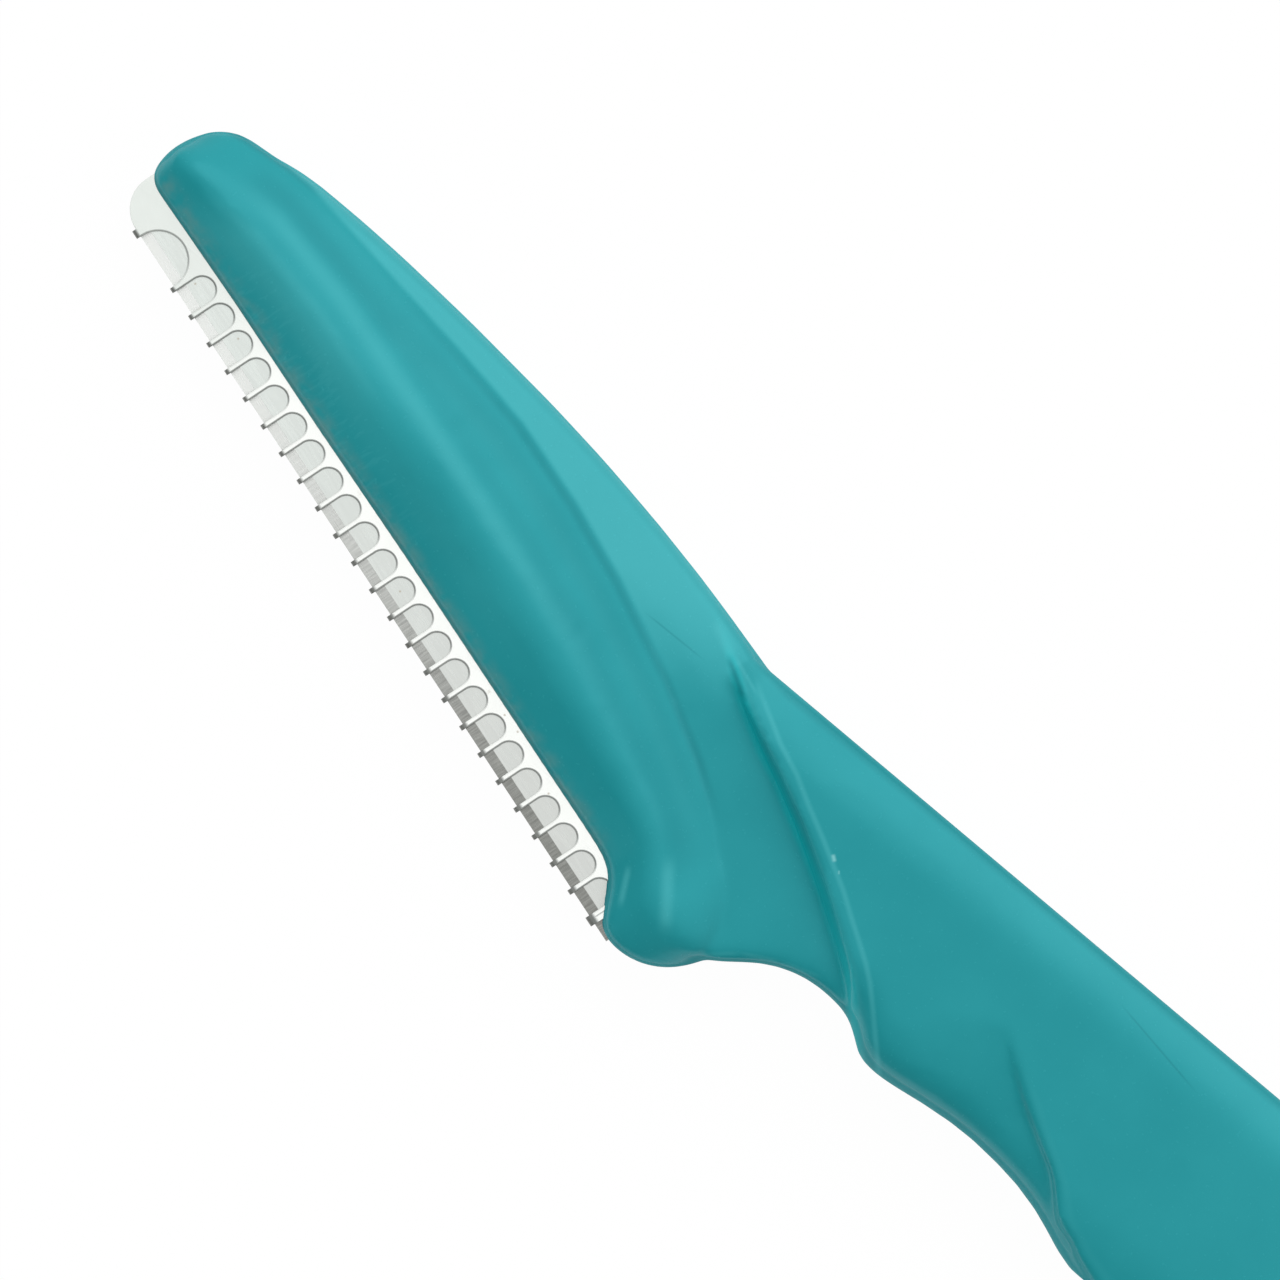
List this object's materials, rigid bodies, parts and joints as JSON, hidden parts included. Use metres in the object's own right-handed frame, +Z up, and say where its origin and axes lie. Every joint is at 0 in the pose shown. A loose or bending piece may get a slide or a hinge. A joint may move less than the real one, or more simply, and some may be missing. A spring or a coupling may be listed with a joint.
{
  "type": "eyebrow razor",
  "caption": "Slim moulded razor for shaping eyebrows: a long flat grip, a thin neck and a swept head that holds a straight steel blade behind a slotted guard.",
  "frame": {"origin": "on the flat land of the back, on the axis of the grip, beside the first swept step", "axes": "+X along the grip to its tail, +Y to the spine side, so that the cutting edge faces -Y, +Z up through the thickness from the back to the front"},
  "size_m": [0.1501, 0.0142, 0.005],
  "materials": {
    "plastic": "satin moulded",
    "blade_steel": "ground and honed",
    "guard_steel": "bright rolled"
  },
  "bodies": {
    "root": {"handle": "plastic", "blade": "blade_steel", "guard": "guard_steel"}
  },
  "joints": []
}
